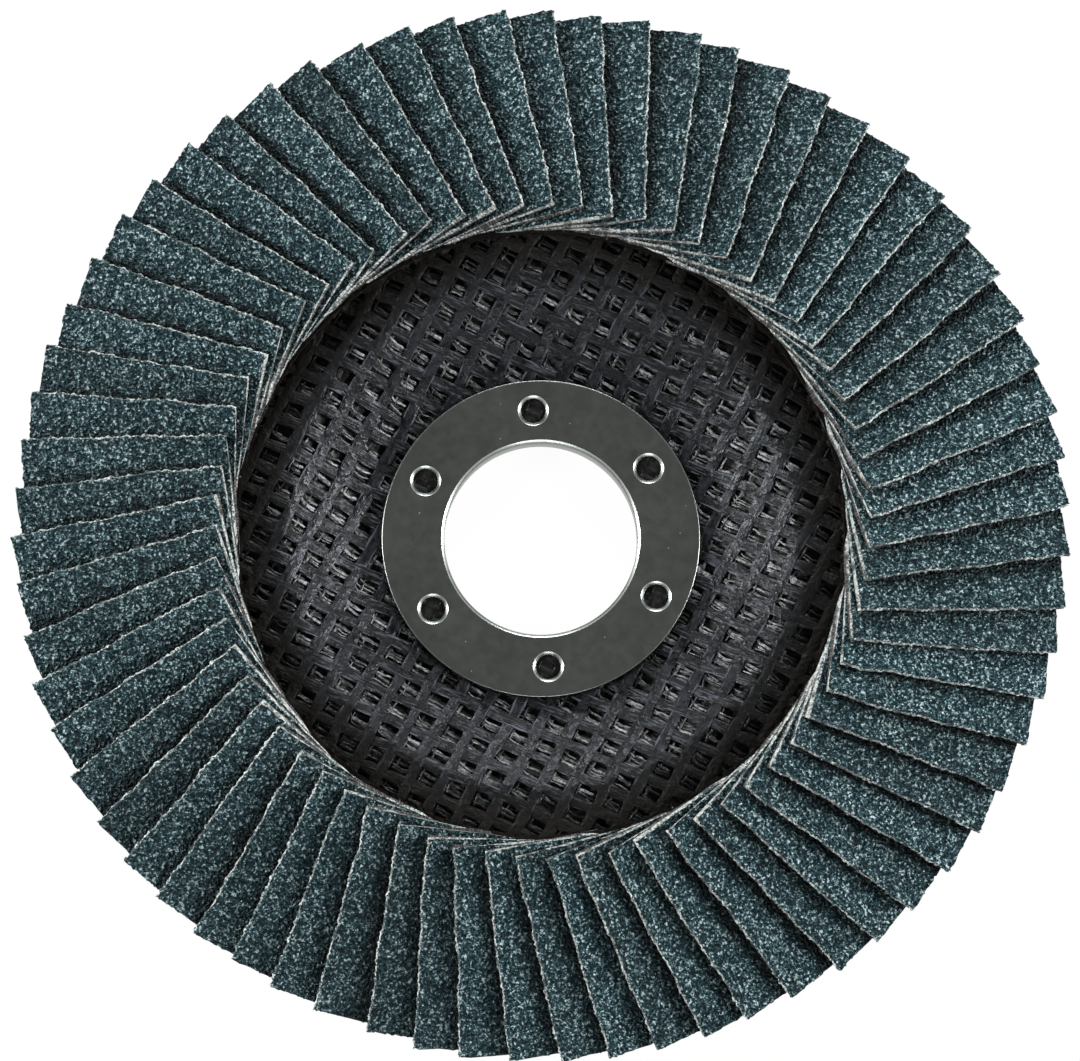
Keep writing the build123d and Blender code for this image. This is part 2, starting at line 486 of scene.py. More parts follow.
@cache
def facet_group():
    """Broken grains: each cell is a facet with its own random number, and its middle falls away by the distance."""
    graph, given, result = new_group(
        "Facets", {"Vector": "Vector", "Per metre": "Float"}, {"Random": "Float", "Middle": "Float"}
    )
    scale, half = given["Per metre"], (0.5, 0.5, 0.5)
    stir = graph.node("TexNoise", {"Vector": given["Vector"], "Scale": scale, "Detail": 0.0}).outputs["Color"]
    shift = graph.vector("SUBTRACT", {0: stir, 1: half})
    moved = graph.vector("SCALE", {0: shift, "Scale": graph.math("DIVIDE", 0.9, scale)})
    place = graph.vector("ADD", {0: given["Vector"], 1: moved})
    cells = graph.node("TexVoronoi", {"Vector": place, "Scale": scale}).outputs
    graph.fill(result, {
        "Random": graph.node("SeparateColor", {"Color": cells["Color"]}).outputs[1],
        "Middle": graph.math("SUBTRACT", 1.0, cells["Distance"]),
    })
    return graph.tree


@cache
def weave_group():
    """Plain weave from two coordinates: the height of the upper thread.
    Each set of threads is a row of sines, and the product of two cosines says which set is on top."""
    graph, given, result = new_group(
        "Weave", {"Along": "Float", "Across": "Float", "Warp pitch": "Float", "Weft pitch": "Float"},
        {"Height": "Float"},
    )
    warp, weft = (
        graph.math("DIVIDE", graph.multiply(given[way], pi), given[pitch])
        for way, pitch in (("Along", "Warp pitch"), ("Across", "Weft pitch"))
    )
    on_top = graph.remap(graph.multiply(graph.math("COSINE", warp), graph.math("COSINE", weft)), -0.12, 0.12)
    warp_round, weft_round = (graph.math("ABSOLUTE", graph.math("SINE", turns)) for turns in (warp, weft))
    graph.fill(result, {"Height": graph.blend(on_top, weft_round, warp_round)})
    return graph.tree


def new_material(name):
    """A material with a Principled shader: returns the material, its graph and the shader."""
    made = bpy.data.materials.new(name)
    made.use_nodes = True
    return made, Graph(made.node_tree), next(n for n in made.node_tree.nodes if n.type == "BSDF_PRINCIPLED")


def abrasive_material(flaps):
    """Grain in resin on the upper side, torn fibres on the cut edges and woven cloth on the back."""
    made, graph, shader = new_material("abrasive_cloth")
    here, depth, run = graph.here(), graph.attribute("depth"), graph.attribute("run")

    # Grain: dark resin, grains and bright facets, as folds, single grains and their domes add up.
    # The bright facets' pale colour is partly a painted highlight for the grains' glints.
    coarse = graph.group(facet_group(), {"Vector": here, "Per metre": 1 / flaps.grain})
    fine = graph.group(facet_group(), {"Vector": here, "Per metre": 2.1 / flaps.grain})
    folds = graph.noise(here, 1.25 / flaps.grain, 1.0)
    bright = graph.weighted((folds, 0.78), (coarse["Random"], 0.21), (fine["Random"], 0.10),
                            (coarse["Middle"], 0.22), (fine["Middle"], 0.32), shift=-0.31)
    body = graph.mix(graph.remap(bright, 0.35, 0.60), opaque(flaps.resin), opaque(flaps.grit))
    grains = graph.mix(graph.remap(bright, 0.55, 0.82), body, opaque(flaps.glint))
    # Painted shadow: beside the next flap's free edge the colour falls to 0.22 of itself, where that edge's shadow lies
    painted_shadow = graph.remap(graph.attribute("painted_shadow"), 0.0, 1.0, 1.0, 0.22)
    coat = graph.vector("SCALE", {0: grains, "Scale": graph.multiply(graph.attribute("shade"), painted_shadow)})

    # Cut edges: fibres that resin has soaked in places, with grain stuck to them and pale knots
    fibres = graph.noise(here, 3600.0, 2.0, 0.7)
    stain = graph.noise(here, 620.0, 3.0, 0.75)
    at_end = graph.remap(run, 0.1 * MM, 0.5 * MM, 1.0, 0.0)
    outward = graph.remap(run, 0.5 * flaps.length, flaps.length, 0.0, 0.08)
    side, end = (
        graph.mix(graph.remap(stain, *stained), opaque(clean), opaque(flaps.cloth_shade))
        for stained, clean in (((0.42, 0.54), flaps.cloth), ((0.45, 0.6), flaps.cloth_end))
    )
    worn = graph.weighted((stain, 1.0), (outward, 1.0), (at_end, -0.02))
    gritty = graph.mix(graph.remap(worn, 0.53, 0.60), graph.mix(at_end, side, end), opaque(flaps.grit))
    knots = graph.mix(graph.remap(fibres, 0.56, 0.68), gritty, opaque(flaps.cloth, 1.35))
    torn = graph.mix(graph.remap(fibres, 0.34, 0.5), opaque(flaps.backing), knots)

    # Back: plain woven cloth
    weave = graph.group(weave_group(), {"Along": run, "Across": graph.attribute("across"),
                                        "Warp pitch": flaps.thread_pitch, "Weft pitch": 0.85 * flaps.thread_pitch})
    threads = graph.mix(weave["Height"], opaque(flaps.backing, 0.45), opaque(flaps.backing, 1.3))
    frayed = graph.weighted((stain, 0.8), (depth, 1.0), shift=-0.4)
    cloth = graph.mix(graph.remap(frayed, 0.55, 0.85), torn, threads)

    ragged = graph.weighted((fibres, 0.9), (stain, 1.1), shift=-1.02)
    loose = graph.multiply(ragged, graph.remap(depth, 0.0, 0.2))
    cloth_share = graph.remap(graph.math("ADD", depth, loose), 0.02, 0.14)
    relief = graph.blend(graph.remap(depth, 0.0, 0.14), graph.multiply(folds, 3.6),
                         graph.weighted((weave["Height"], 0.7), (fibres, 1.0)))
    graph.fill(shader, {"Base Color": graph.mix(cloth_share, coat, cloth),
                        "Roughness": graph.blend(cloth_share, 0.45, 0.85),
                        "Normal": graph.bump(relief, 0.22 * MM), "Specular IOR Level": 0.1})
    return made


def yarn_material(plate):
    """Glass yarns under a coat of black resin: filaments run along each yarn, and the resin over them is glossy. Their
    pale streaks, most along the weft and the yarns' edges, are partly painted highlights. Towards the flaps glue and
    painted shade make them dull brown."""
    made, graph, shader = new_material("resin_coated_yarn")
    here, across, weft = graph.here(), graph.attribute("across"), graph.attribute("weft")
    lines = graph.node("CombineXYZ", {0: graph.multiply(across, 4600.0),
                                      1: graph.multiply(graph.attribute("along"), 520.0),
                                      2: graph.attribute("yarn")}).outputs[0]
    filaments = graph.noise(lines, 1.0, 1.0)
    lumps = graph.noise(here, 1500.0, 2.0)
    patches = graph.group(mottle_group(), {"Vector": here, "Per metre": 560.0, "First": opaque(plate.resin),
                                           "Second": opaque(plate.yarn)})
    # Painted highlight, in part: pale filament streaks, most along the weft and near the yarns' edges, stand for the
    # filaments' glints as well as bare glass
    fringe = graph.remap(graph.math("ABSOLUTE", across), 0.24 * plate.yarn_width, 0.5 * plate.yarn_width, 0.05, 1.0)
    bare = graph.multiply(graph.remap(filaments, 0.54, 0.66), graph.weighted((weft, 0.4), (fringe, 1.0)))
    coat = graph.mix(weft, patches["Colour"], opaque(plate.resin))
    tone = graph.mix(bare, coat, opaque(plate.yarn, 6.5))
    # Glue and painted shade: towards the flaps the yarns turn dark brown and dull
    crept = graph.weighted((lumps, 6 * MM), (graph.radius(here), 1.0), shift=-3 * MM)
    glued_and_shaded = graph.remap(crept, plate.glue_and_shade_radius - 3 * MM, plate.glue_and_shade_radius + 2.5 * MM)
    streaks = graph.weighted((weft, 0.3), (graph.remap(patches["Value"], 0.2, 1.0, 0.1, 0.4), 1.0))
    height = graph.math("ADD", graph.multiply(filaments, streaks), lumps)
    rough = graph.weighted((weft, 0.09), (graph.remap(lumps, 0.4, 0.6, 0.52, 0.26), 1.0))
    graph.fill(shader, {"Base Color": graph.mix(glued_and_shaded, tone, opaque(plate.glue)),
                        "Roughness": graph.blend(glued_and_shaded, rough, 0.5), "Normal": graph.bump(height, 0.2 * MM),
                        "Specular IOR Level": 0.17, "Specular Tint": (0.90, 0.95, 1.0, 1.0)})
    return made


def strand_material(plate):
    """Bare glass strands, each with its own share of resin over it; their pale colour is partly a painted highlight,
    and towards the flaps glue and painted shade darken them.
    """
    made, graph, shader = new_material("bare_strand")
    here = graph.here()
    streaks = graph.noise(here, 2300.0, 2.0)
    # Glue and painted shade: towards the flaps the strands fade to 0.06 of their paleness
    bare = graph.remap(graph.radius(here), plate.glue_and_shade_radius - 3 * MM, plate.glue_and_shade_radius + 2 * MM, 1.0, 0.06)
    pale = graph.multiply(graph.attribute("pale"), graph.remap(streaks, 0.35, 0.62, 0.15, 1.0), bare)
    graph.fill(shader, {"Base Color": graph.mix(pale, opaque(plate.resin), opaque(plate.strand)),
                        "Roughness": 0.35, "Normal": graph.bump(streaks, 0.1 * MM), "Specular IOR Level": 0.3})
    return made


def glue_material(plate):
    """Brownish black glue with a lumpy skin and a few pale crumbs of grain stuck in it."""
    made, graph, shader = new_material("dark_glue")
    here = graph.here()
    patches = graph.group(mottle_group(), {"Vector": here, "Per metre": 700.0, "First": opaque(plate.glue, 0.5),
                                           "Second": opaque(plate.glue)})
    crumbs = graph.group(speck_group(), {"Vector": here, "Per metre": 2400.0, "Share": 0.05, "Radius": 0.35})
    lumps = graph.noise(here, 1300.0, 3.0)
    graph.fill(shader, {"Base Color": graph.mix(crumbs["Mask"], patches["Colour"], (0.12, 0.13, 0.125, 1)),
                        "Roughness": graph.remap(lumps, 0.3, 0.7, 0.45, 0.7),
                        "Normal": graph.bump(lumps, 0.4 * MM), "Specular IOR Level": 0.07})
    return made


def resin_material(plate):
    """Black resin with the weave printed in it. Where the dish is open between its yarns, faint strands show along
    the weft: noise stretched along them, bright near its middle value, so that each is a thin wavy line."""
    made, graph, shader = new_material("black_resin")
    here = graph.here()
    turned = graph.node("VectorRotate", {"Vector": here, "Angle": -plate.weft_angle}, rotation_type="Z_AXIS").outputs[0]
    parts = graph.node("SeparateXYZ", {0: turned}).outputs
    weave = graph.group(weave_group(), {"Along": parts[0], "Across": parts[1], "Warp pitch": 0.5 * plate.warp_pitch,
                                        "Weft pitch": 0.5 * plate.weft_pitch})
    patches = graph.group(mottle_group(), {"Vector": here, "Per metre": 500.0, "First": opaque(plate.resin, 0.6),
                                           "Second": opaque(plate.resin)})
    grit = graph.noise(here, 2500.0, 3.0)

    drawn = graph.vector("MULTIPLY", {0: turned, 1: (1 / plate.strand_length, 0.5 / plate.strand_width, 200.0)})
    off_middle = graph.math("ABSOLUTE", graph.weighted((graph.noise(drawn, 1.0, 1.0, Distortion=0.9), 1.0), shift=-0.5))
    tufts = graph.remap(graph.noise(here, 620.0, 1.0), 0.42, 0.62, 0.1, 1.0)
    # Glue and painted shade: towards the flaps the faint strands fade to 0.12 of themselves
    bare = graph.remap(graph.radius(here), plate.glue_and_shade_radius - 3 * MM, plate.glue_and_shade_radius + 2 * MM, 1.0, 0.12)
    # Painted highlight, in part: the faint strands take the strands' pale colour, which also stands in for their glints
    thread = graph.multiply(graph.remap(off_middle, 0.01, 0.1, 1.0, 0.0), tufts, graph.attribute("dish"), bare, 0.3)
    height = graph.weighted((grit, 0.25), (weave["Height"], 1.0))
    graph.fill(shader, {"Base Color": graph.mix(thread, patches["Colour"], opaque(plate.strand)),
                        "Roughness": graph.remap(grit, 0.3, 0.7, 0.34, 0.55),
                        "Normal": graph.bump(height, 0.2 * MM, 0.8), "Specular IOR Level": 0.19})
    return made


def steel_material(ring):
    """Dull pressed steel with stains and fine specks, darker inside the collar."""
    made, graph, shader = new_material("pressed_steel")
    here = graph.here()
    drift = graph.group(mottle_group(), {"Vector": here, "Per metre": 160.0, "First": opaque(ring.steel, 0.93),
                                         "Second": opaque(ring.steel, 1.06)})
    dirt = graph.remap(graph.noise(here, 380.0, 6.0, 0.75), 0.58, 0.72, 0.0, 0.55)
    specks = graph.group(speck_group(), {"Vector": here, "Per metre": 1500.0, "Share": 0.05, "Radius": 0.16})["Mask"]
    tone = graph.mix(dirt, drift["Colour"], opaque(ring.dirt))
    tone = graph.mix(graph.multiply(specks, 0.3), tone, (0.7, 0.72, 0.7, 1))
    inside = graph.remap(graph.radius(here), ring_bore() + 0.01 * MM, ring_bore() + 0.05 * MM, 1.0, 0.0)
    cloudy = graph.noise(here, 700.0, 5.0, 0.65)
    rough = graph.weighted((specks, 0.15), (graph.remap(cloudy, 0.3, 0.7, 0.29, 0.32), 1.0))
    graph.fill(shader, {"Base Color": graph.mix(inside, tone, opaque(ring.steel, 0.4)), "Metallic": 1.0,
                        "Roughness": rough, "Normal": graph.bump(cloudy, 0.02 * MM, 0.2)})
    return made


# Flaps


def flap_ends(flaps):
    """Corner, across and up vectors at a flap's inner and outer end, with its long side along X.
    The lean at each end is the angle whose tangent is a flap's thickness over the arc between two flaps."""
    corner_radius = plate_box[1].x + flaps.overhang
    offset = corner_radius * sin(flaps.skew)
    along = np.array([cos(flaps.slope), 0, -sin(flaps.slope)])
    up = np.array([sin(flaps.slope), 0, cos(flaps.slope)])
    outer = np.array([corner_radius * cos(flaps.skew), -offset, cad_box[1].z - flaps.length * sin(flaps.slope)])
    ends = []
    for corner in (outer - flaps.length * along, outer):
        arc = hypot(corner[0], offset) * tau / flap_total
        lean = atan2(flaps.thickness + flaps.clearance, arc)
        across = np.array([0, cos(lean), 0]) - up * sin(lean)
        rise = np.array([0, sin(lean), 0]) + up * cos(lean)
        ends.append((corner, across, rise))
    return ends


def flap_outline(flaps):
    """Distance across and share of depth of the points round a flap's section, from the free edge over the
    grain side, down the foot, back under the cloth and up the free edge."""
    shown = 6.6 * MM
    fine = np.arange(0, shown, flaps.mesh_step)
    coarse = np.linspace(shown, flaps.width, 8)
    top = np.concatenate([fine, coarse])
    back = flaps.width * np.array([1, 1, 2 / 3, 1 / 3, 0])
    across = np.concatenate([top, back, np.zeros(3)])
    depth = np.concatenate([np.zeros(len(top)), [0.5, 1, 1, 1, 1], [0.75, 0.5, 0.25]])
    return across, depth


def flap_points(flaps, field, generator, number):
    """Points of one flap. A point is the inner end's point times one minus the share of length, plus the
    outer end's point times the share, then moved across by the edge's bow and nibs, and down between grains."""
    (inner, across_in, rise_in), (outer, across_out, rise_out) = flap_ends(flaps)
    width, depth = flap_outline(flaps)
    rows = round(flaps.length / flaps.mesh_step)
    share = np.linspace(0, 1, rows)
    run = share * flaps.length

    near_edge = np.exp(-width / (2.2 * MM))[None, :]
    bow = wave_noise(generator, run, (31 * MM, 17 * MM, 9 * MM))[0] * flaps.edge_bow
    lift = np.maximum(1 + wave_noise(generator, run, (27 * MM, 13 * MM, 5 * MM))[0], 0) * flaps.edge_lift
    ripple = wave_noise(generator, run, (7 * MM, 4.1 * MM))[0] * 0.03 * MM
    x, y = np.meshgrid(run + 37 * number * flaps.grain, width, indexing="ij")
    grains = 0.75 * field.height(x, y, flaps.grain) + 0.25 * field.height(y + x, x - y, 0.6 * flaps.grain)
    nibs = field.height(x, y + depth * flaps.thickness + 61 * flaps.grain, 0.8 * flaps.grain) - 0.5
    on_grain = (depth == 0)[None, :]
    on_edge = (width == 0)[None, :] * (1 - 0.5 * depth)[None, :]

    fray = flaps.edge_fray * (0.9 + 0.9 * wave_noise(generator, run, (6.1 * MM, 2.3 * MM, 1.1 * MM, 0.7 * MM))[0])
    hem = np.where(width == 0, np.sin(pi * np.clip(depth / 0.85, 0, 1)), 0)
    sideways = width[None, :] + (bow + ripple)[:, None] * near_edge - nibs * flaps.edge_nib * on_edge
    sideways = sideways - fray[:, None] * hem[None, :]
    height = -depth[None, :] * flaps.thickness - (1 - grains) * flaps.grain_relief * on_grain
    height = height + lift[:, None] * near_edge

    # Painted shadow: a band that falls off from where the next flap's free edge lies over this one, kept on the mesh to
    # darken the colour there
    next_edge = (inner[0] * (1 - share) + outer[0] * share) * tan(tau / flap_total)
    reach = flaps.painted_shadow_reach * (1 + 0.4 * wave_noise(generator, run, (5.3 * MM, 2.9 * MM))[0])
    gap = np.abs(next_edge[:, None] - width[None, :]) / np.maximum(reach, 0.3 * MM)[:, None]
    painted_shadow = np.exp(-gap**1.4) * (1 - np.exp(-run / (1.5 * MM)))[:, None]
    values = {"depth": depth[None, :], "run": run[:, None], "across": width[None, :], "painted_shadow": painted_shadow}
    values = {key: np.broadcast_to(value, height.shape).ravel() for key, value in values.items()}

    share = share[:, None, None]
    sideways, height = sideways[..., None], height[..., None]
    inner_side = inner + sideways * across_in + height * rise_in
    outer_side = outer + sideways * across_out + height * rise_out
    points = inner_side * (1 - share) + outer_side * share
    ends = np.zeros(rows)
    ends[0], ends[-1] = -1, 1
    ragged = (nibs[..., None] * ends[:, None, None]) * flaps.edge_nib * 1.8
    torn = 1.0 + 1.3 * wave_noise(generator, width, (2.3 * MM, 1.1 * MM, 0.6 * MM))[0] + nibs[0]
    ragged[0] -= (np.minimum(depth, 0.75) * 1.4 * flaps.edge_fray * np.maximum(torn, 0))[:, None]
    return points + ragged * (outer - inner) / flaps.length, values


def place_flap(points, flaps, generator, number):
    """Turns a flap to its place. A flap that sits further round by an angle also sits lower by the same share
    of a flap's thickness, so that it still lies on the one below."""
    pitch = tau / flap_total
    shift, reach, skew = (
        np.clip(generator.normal(0, spread), low * spread, high * spread)
        for spread, low, high in ((flaps.turn_spread, -2, 2), (flaps.reach_spread, -1.5, 1), (flaps.skew_spread, -2, 2))
    )
    pivot = np.array([48 * MM, 0, 0])
    moved = turn(points - pivot, skew) + pivot
    moved[..., 0] += reach
    moved[..., 2] -= shift / pitch * (flaps.thickness + flaps.clearance)
    return turn(moved, flaps.first_angle + flaps.skew + number * pitch + shift)


class DISC_OT_flaps(bpy.types.Operator):
    """Make the abrasive flaps, one piece for each packed group of flaps"""

    bl_idname = "disc.flaps"
    bl_label = "Flaps"

    def execute(self, context):
        flaps = context.scene.disc_flaps
        material = abrasive_material(flaps)
        field = GrainField(flaps.seed)
        generator = np.random.default_rng(flaps.seed)
        for node in flap_nodes:
            shapes, values = [], []
            for number in (int(part) for part in node.split("_")[1:]):
                flap, made = flap_points(flaps, field, generator, number)
                shapes.append(place_flap(flap, flaps, generator, number - 1))
                shade = np.clip(generator.normal(1, flaps.shade_spread), 0.75, 1.35)
                values.append({**made, "shade": np.full(flap[..., 0].size, shade)})
            points, quads, caps = tubes(shapes, inside_out=True)
            piece = add_piece(
                "abrasive_" + node, points, [quads, np.concatenate(caps)],
                {key: np.concatenate([made[key] for made in values]) for key in values[0]}, material, radians(62),
            )
            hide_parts(node)
        return {"FINISHED"}


# Backing plate


def plate_outline(plate):
    """Outline of the plate's section in radius and height, anticlockwise from the bore's lower edge.
    The back of the wall is parallel to its front, and the flange's underside to its top."""
    rim = plate_box[1].x
    bore = ring_bore() + ring_wall() + 0.05 * MM
    fall = tan(plate.flange_angle)
    rise = plate.dish_depth / (plate.crest_radius - plate.floor_radius)
    drop = plate.flange_thickness / cos(plate.flange_angle)
    crest = plate.hub_thickness + plate.dish_depth
    at_axis = crest + plate.crest_radius * fall
    run = plate.flange_thickness / sin(atan2(rise, 1))
    hub_back = plate.floor_radius + run - plate.hub_thickness / rise
    back_crest = (at_axis - drop + hub_back * rise) / (rise + fall)
    corners = [
        (bore, 0), (hub_back, 0), (back_crest, at_axis - drop - back_crest * fall),
        (rim, at_axis - drop - rim * fall), (rim, at_axis - rim * fall), (plate.crest_radius, crest),
        (plate.floor_radius, plate.hub_thickness), (bore, plate.hub_thickness),
    ]
    bends = [0, plate.back_bend, plate.back_bend + plate.flange_thickness, plate.rim_bend, plate.rim_bend,
             plate.crest_bend, plate.floor_bend, 0]
    return rounded_outline(corners, bends)


def ring_bore():
    """Radius of the bore, from its mount."""
    return bore_mount["dims"]["r_mm"] * MM


def ring_wall():
    """Thickness of the collar's wall."""
    return bpy.context.scene.disc_ring.collar_wall


def surface_height(outline, upper):
    """The height of the plate's upper or lower side as a function of radius."""
    radius, height = outline[:, 0], outline[:, 1]
    widest = int(np.argmax(radius))
    side = slice(widest, None) if upper else slice(0, widest)
    order = np.argsort(radius[side])
    return radius[side][order], height[side][order]


def plate_body(plate, outline, steps=240):
    """Points of the plate's body, and a mark of 1 where the dish is open between its yarns. The section is carried
    round the axis, and where the mark is 1 it is sunk by the windows' depth."""
    section = divided(outline, 1.2 * MM)
    radius, height = section[:, 0], section[:, 1]
    in_dish = (radius > ring_box[1].x) & (radius < 37 * MM)
    back = np.interp(radius, *surface_height(outline, False))
    dish = in_dish & (height > back + 0.5 * plate.flange_thickness)
    section[:, 1] -= plate.window_depth * dish
    points = revolved(section, np.arange(steps) / steps * tau).swapaxes(0, 1)
    return points, np.broadcast_to(dish, (steps, len(section))).astype(float)


def yarn_set(plate, surface, pitch, other_pitch, heading, phase, generator, limits, lowered=0.0):
    """One set of yarns on the plate. A yarn is given as the points of a closed lens-shaped tube and their places
    along and across it. Its height is the plate's height at its place, plus a wave that goes over one crossing yarn
    and under the next, plus a lens across its width. Between the limits in radius it shows, and beyond them it
    sinks."""
    inner, outer = limits
    lens_across = np.array([-1, -0.72, -0.36, 0, 0.36, 0.72, 1, 0.5, -0.5])
    lens_height = np.array([0, 0.55, 0.9, 1, 0.9, 0.55, 0, -0.6, -0.6])
    sunk = plate.yarn_crimp + plate.yarn_bulge + 0.25 * MM
    count = ceil(outer / pitch)
    made = []
    for number in range(-count, count + 1):
        line = number * pitch
        reach = np.sqrt(max(outer**2 - line**2, 0))
        if reach < pitch:
            continue
        gap = np.sqrt(inner**2 - line**2) if abs(line) < inner else 0
        for low, high in [(-reach, -gap), (gap, reach)] if gap else [(-reach, reach)]:
            if high - low < pitch:
                continue
            x = np.linspace(low, high, max(4, round((high - low) / (0.42 * MM))))
            stray = wave_noise(generator, x, (41 * MM, 13 * MM))[0] * plate.yarn_wander
            half = plate.yarn_width / 2 * (1 + 0.2 * wave_noise(generator, x, (19 * MM, 6 * MM, 2.7 * MM))[0])
            tilt = 0.05 * wave_noise(generator, x, (11 * MM, 4.3 * MM))[0]
            bumpy = wave_noise(generator, x, (5.1 * MM, 3.3 * MM))[0] * 0.03 * MM
            wave = np.tanh(1.6 * np.cos(pi * x / other_pitch + pi * (number + phase))) / np.tanh(1.6)
            across = half[:, None] * lens_across
            y = line + stray[:, None] + across
            xs = np.broadcast_to(x[:, None], y.shape)
            radius = np.hypot(xs, y)
            shown = np.clip((radius - inner) / (0.5 * MM), 0, 1) * np.clip((outer - radius) / (1.0 * MM), 0, 1)
            relief = (wave * plate.yarn_crimp + bumpy)[:, None] + lens_height * plate.yarn_bulge
            relief = relief + tilt[:, None] * (y - line) + plate.yarn_crimp * 0.9 - lowered
            z = np.interp(radius, *surface) + relief - (1 - shown) * sunk
            made.append((turn(np.stack([xs, y, z], axis=-1), heading), xs, across))
    return made


def add_yarns(name, warp, weft, material):
    """Joins two sets of yarns into one piece with their coordinates along and across, each yarn's number, and a
    mark of 1 on the weft."""
    yarns = warp + weft
    points, quads, caps = tubes([yarn for yarn, along, across in yarns], inside_out=True)
    sizes = [along.size for yarn, along, across in yarns]
    attributes = {
        "along": np.concatenate([along.ravel() for yarn, along, across in yarns]),
        "across": np.concatenate([across.ravel() for yarn, along, across in yarns]),
        "yarn": np.repeat(7.3 * np.arange(len(yarns)), sizes),
        "weft": np.repeat(np.arange(len(yarns)) >= len(warp), sizes),
    }
    piece = add_piece(name, points, [quads, np.concatenate(caps)], attributes, material)
    return piece


def window_middles(plate, limits):
    """Middles of the windows between the yarns, where a line half-way between two yarns of each set crosses."""
    yarns = np.array([plate.warp_angle, plate.weft_angle])
    normals = np.stack([-np.sin(yarns), np.cos(yarns)], axis=-1)
    pitches = np.array([plate.warp_pitch, plate.weft_pitch])
    count = ceil(limits[1] / pitches.min())
    cells = np.stack(np.meshgrid(np.arange(-count, count), np.arange(-count, count)), axis=-1).reshape(-1, 2)
    middles = np.linalg.solve(normals, ((cells + 0.5) * pitches).T).T
    distance = np.hypot(middles[:, 0], middles[:, 1])
    return middles[(distance > limits[0]) & (distance < limits[1])]


def window_strands(plate, surface, generator, middles, number, heading, half_run, rests, falls):
    """Points of loose strands across the windows of the weave, a number to a window, along a heading.
    A strand's place across its run is a rest plus a fall that dies away exponentially from its start, drawn from
    the ranges given in millimetres. Its ends dip under the yarns by the square of the run."""
    middles = np.repeat(middles, number, axis=0)[:, None, :]
    total = len(middles)
    run = np.linspace(-half_run, half_run, 10)[None, :]
    low, high = (rests[0], falls[0], 0.25), (rests[1], falls[1], 0.8)
    rest, fall, decay = generator.uniform(low, high, (total, 3)).T[..., None] * MM
    sway = wave_noise(generator, run[0], (1.3 * MM, 2.3 * MM, 3.7 * MM), total) * 0.09 * MM
    sideways = np.clip(rest + fall * np.exp(-(run + half_run) / decay), -0.9 * MM, 0.9 * MM) + sway
    along, beside = np.array([cos(heading), sin(heading)]), np.array([-sin(heading), cos(heading)])
    line = middles + run[..., None] * along + sideways[..., None] * beside
    tangent = np.gradient(line, axis=1)
    tangent /= np.linalg.norm(tangent, axis=-1, keepdims=True)
    edgeways = np.stack([-tangent[..., 1], tangent[..., 0]], axis=-1)[:, :, None, :]
    around = np.arange(5) / 5 * tau
    half_width = plate.strand_width * generator.uniform(0.16, 0.42, (total, 1, 1, 1))
    flat = line[:, :, None, :] + edgeways * half_width * np.cos(around)[:, None]
    sunk = generator.uniform(0.0, 0.3, (total, 1)) * MM + 0.3 * MM * (run / half_run) ** 2
    height = np.interp(np.hypot(flat[..., 0], flat[..., 1]), *surface) - sunk[..., None] + 0.09 * MM * np.sin(around)
    return np.concatenate([flat, height[..., None]], axis=-1), generator.random(total) ** 1.6


def glue_fillet(plate, surface, generator, steps=900):
    """Points of the bead of glue at the flaps' inner ends, as sections of closed outline round the axis.
    From a wandering toe to the bead's top, the height over the flange is the climb times the share of the way
    to the power 1.4, plus a lumpy wave, and the section closes under the flange's surface."""
    top_radius = plate.bead_radius
    bearing = np.arange(steps) / steps * tau
    rounds = [3, 16, 47, 83, 131, 197, 269]
    phases = generator.uniform(0, tau, (2, len(rounds)))
    waves = np.sin(np.array(rounds)[None, :, None] * bearing + phases[:, :, None]).sum(axis=1) / np.sqrt(len(rounds))
    toe = top_radius - (0.8 + 0.3 * np.clip(waves[0], -1.5, 1.5)) * MM
    share = np.linspace(0, 1, 9)
    radius = toe[:, None] + (top_radius - toe)[:, None] * share
    lumps = 0.2 * MM * waves[1][:, None] * np.sin(pi * share) + 0.1 * MM * waves[0][:, None] * np.sin(tau * share)
    height = np.interp(radius, *surface) + plate.bead_climb * share**1.4 + lumps - 0.12 * MM * (1 - share)
    foot = np.stack([np.full(steps, top_radius), toe], axis=1)
    radius = np.concatenate([radius, foot], axis=1)
    height = np.concatenate([height, np.interp(foot, *surface) - 0.5 * MM], axis=1)
    return np.stack([radius * np.cos(bearing)[:, None], radius * np.sin(bearing)[:, None], height], axis=-1)


